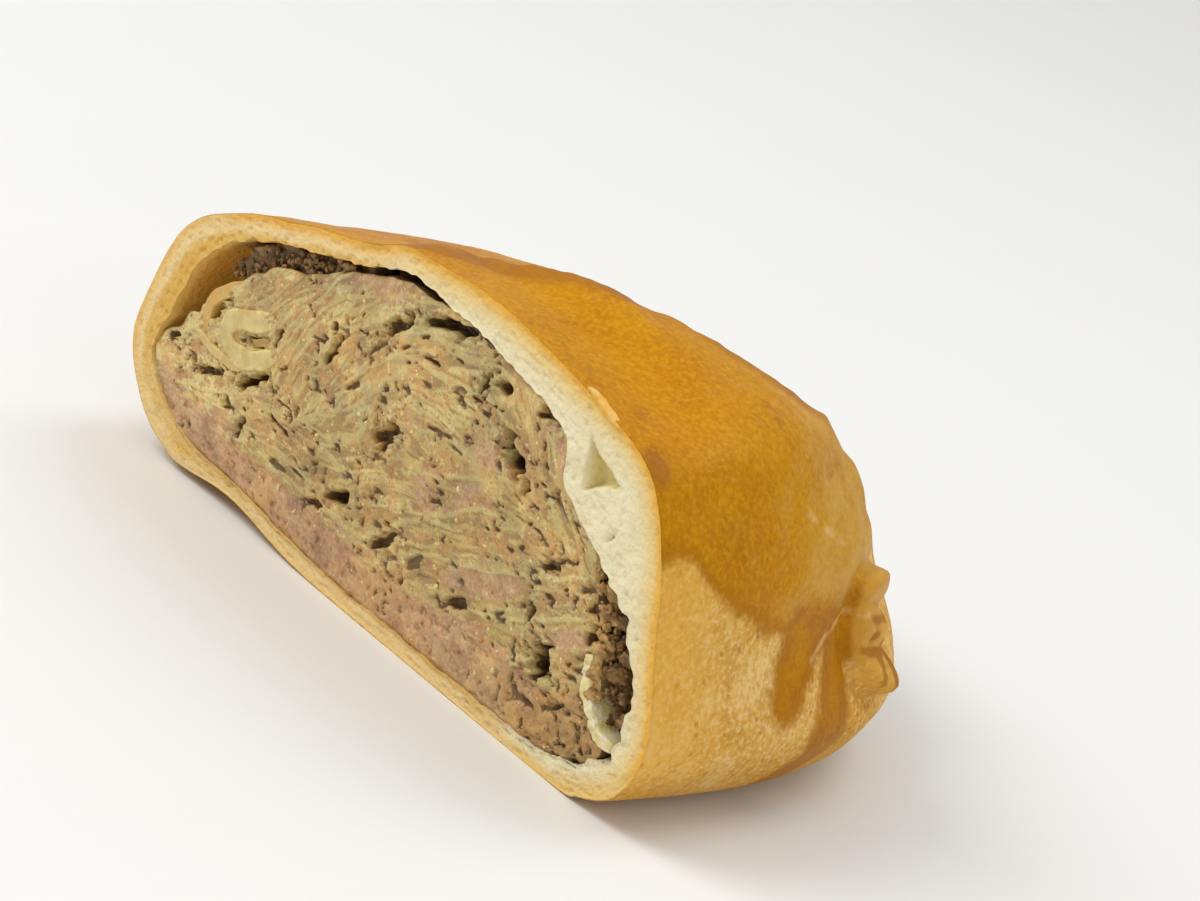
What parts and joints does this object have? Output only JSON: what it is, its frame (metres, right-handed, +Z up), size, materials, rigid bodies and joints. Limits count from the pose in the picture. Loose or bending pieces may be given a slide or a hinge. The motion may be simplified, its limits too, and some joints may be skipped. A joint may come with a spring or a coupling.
{
  "type": "half of a cut meat and cabbage pasty",
  "caption": "Half of a baked oval pasty, cut across: glazed golden crust with a lapped seam and crimped knob, layered cabbage and meat filling.",
  "frame": {"origin": "on the base plane, under the middle of the whole", "axes": "+Z up from the flat base; the cut face looks along -Y; +X runs to the right along the cut"},
  "size_m": [0.1224, 0.0818, 0.056],
  "materials": {
    "crust": "egg-glazed baked dough, matte below the glaze",
    "filling": "moist cooked cabbage and meat in thin folded layers",
    "meat": "moist pink minced meat",
    "leaf": "soft pale cooked cabbage leaf"
  },
  "bodies": {
    "root": {"crust": "crust", "filling": "filling", "bottom_meat": "meat", "leaf_curl": "leaf", "leaf_strip": "leaf"}
  },
  "joints": []
}
